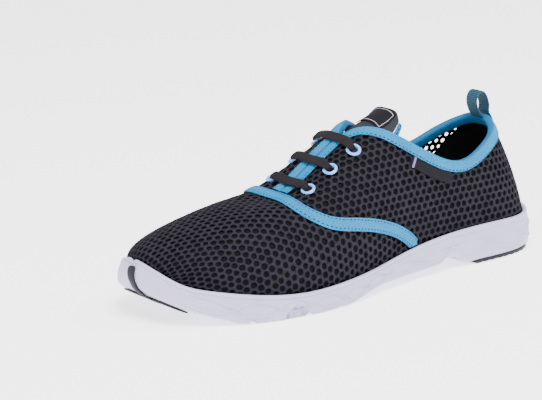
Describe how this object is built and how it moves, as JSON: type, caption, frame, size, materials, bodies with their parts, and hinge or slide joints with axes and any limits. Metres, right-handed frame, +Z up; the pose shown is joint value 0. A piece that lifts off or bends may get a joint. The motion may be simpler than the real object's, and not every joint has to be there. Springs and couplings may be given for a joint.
{
  "type": "water shoe",
  "caption": "Low mesh water shoe for the left foot: taped edges, laced throat, tongue, heel pull loop and a grooved foam sole that stands flat.",
  "frame": {"origin": "middle of the bottom of the bounding box, on the floor", "axes": "+X from heel to toe, +Y towards the outer side of the foot, +Z up"},
  "size_m": [0.2862, 0.1056, 0.0982],
  "materials": {
    "mesh": "open charcoal knit",
    "foam": "pale lilac-white moulded foam",
    "rubber": "matt black rubber",
    "binding": "sky-blue woven tape",
    "webbing": "ribbed teal webbing",
    "eyelet": "light blue, satin",
    "lace": "dark flat woven lace",
    "label": "black satin tape",
    "insole": "dark cloth over foam"
  },
  "bodies": {
    "root": {"sole": "foam", "toe_tread": "rubber", "toe_guard": "rubber", "medial_tread": "rubber", "heel_tread": "rubber", "insole": "insole", "upper": "mesh", "vamp_tape": "binding", "edge_binding": "binding", "tongue": "mesh", "tongue_edge_lateral": "binding", "tongue_edge_medial": "binding", "tongue_label": "label", "side_label": "label", "pull_loop": "webbing", "eyelet_lateral_1": "eyelet", "eyelet_lateral_2": "eyelet", "eyelet_lateral_3": "eyelet", "eyelet_medial_1": "eyelet", "eyelet_medial_2": "eyelet", "eyelet_medial_3": "eyelet", "lace_bar_1": "lace", "lace_bar_2": "lace", "lace_bar_3": "lace"}
  },
  "joints": []
}
